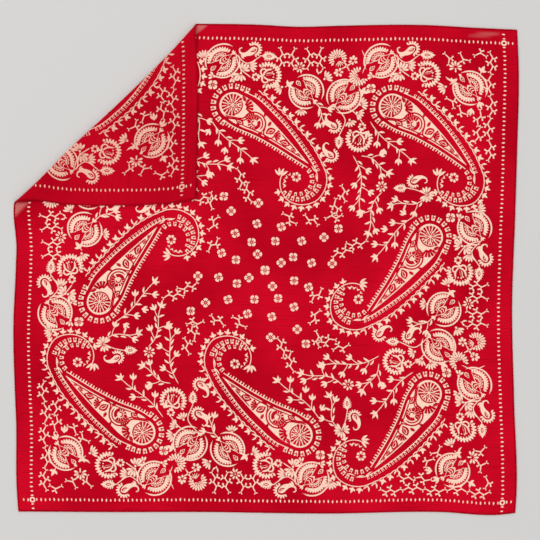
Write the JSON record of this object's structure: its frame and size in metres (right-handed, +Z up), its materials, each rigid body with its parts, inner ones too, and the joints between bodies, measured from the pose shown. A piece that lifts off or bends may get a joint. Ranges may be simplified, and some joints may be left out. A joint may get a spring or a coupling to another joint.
{
  "type": "printed wool bandana",
  "caption": "Square red wool bandana with a cream paisley print and narrow rolled hems, laid flat face up with one corner folded over",
  "frame": {"origin": "on the surface the cloth lies on, below the middle of its box", "axes": "+X runs across the cloth towards its right edge, +Y runs towards its top edge, +Z is up out of the printed face"},
  "size_m": [0.5708, 0.5548, 0.0068],
  "materials": {
    "cloth_face": "fine plain-woven wool, dyed red and printed in cream, matt with a faint sheen",
    "cloth_reverse": "back of the printed wool, the same print mirrored and a little duller",
    "hem": "narrow rolled hem of the same red wool"
  },
  "bodies": {
    "root": {"panel": "cloth_face", "folded_corner": "cloth_reverse", "hem_top": "hem", "hem_right": "hem", "hem_bottom": "hem", "hem_left": "hem", "hem_corner_top": "hem", "hem_corner_left": "hem"}
  },
  "joints": []
}
